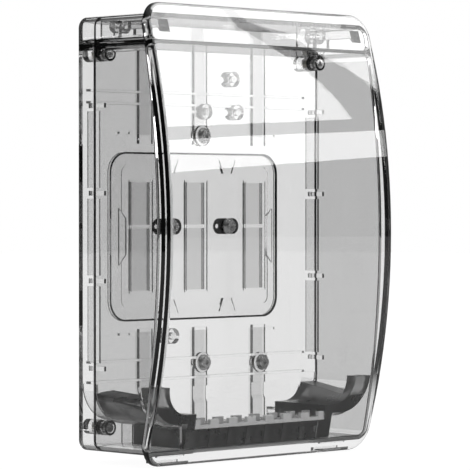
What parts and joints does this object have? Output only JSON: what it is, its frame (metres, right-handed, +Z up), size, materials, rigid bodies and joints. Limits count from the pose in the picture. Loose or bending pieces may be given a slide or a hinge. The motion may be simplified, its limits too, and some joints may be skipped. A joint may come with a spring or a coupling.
{
  "type": "waterproof enclosure",
  "caption": "Clear waterproof wall enclosure with a curved lid that swings up, a device frame and a bottom cable seal.",
  "frame": {"origin": "centre of the rear face, which lies against the wall", "axes": "+Y into the wall, +Z up, +X to the right as seen from the front"},
  "size_m": [0.21, 0.0883, 0.3],
  "materials": {
    "clear_shell": "clear polished polycarbonate",
    "clear_lid": "clear polished polycarbonate",
    "clear_insert": "clear moulded polycarbonate",
    "smoked_rubber": "smoked soft seal",
    "clear_silicone": "translucent silicone",
    "steel": "stainless steel",
    "brass": "turned brass"
  },
  "bodies": {
    "case": {"rear_shell": "clear_shell", "body_shell": "clear_shell", "hinge_pins": "steel", "seam_gasket": "clear_silicone", "lid_gasket": "clear_silicone", "device_frame": "clear_insert", "mounting_screws": "steel", "frame_screws": "steel", "case_screws": "steel", "mounting_washers": "steel", "frame_washers": "steel", "case_seals": "smoked_rubber", "mounting_inserts": "brass", "frame_inserts": "brass", "case_inserts": "brass", "cable_saddle": "smoked_rubber", "cable_plugs": "smoked_rubber", "front_comb": "clear_insert", "rear_comb": "clear_insert"},
    "lid": {"front_lid": "clear_lid"}
  },
  "joints": [
    {"name": "lid_hinge", "type": "hinge", "parent": "case", "child": "lid", "pos_m": [0, -0.0273, 0.136], "axis": [-1, 0, 0], "range_deg": [0, 105]}
  ]
}
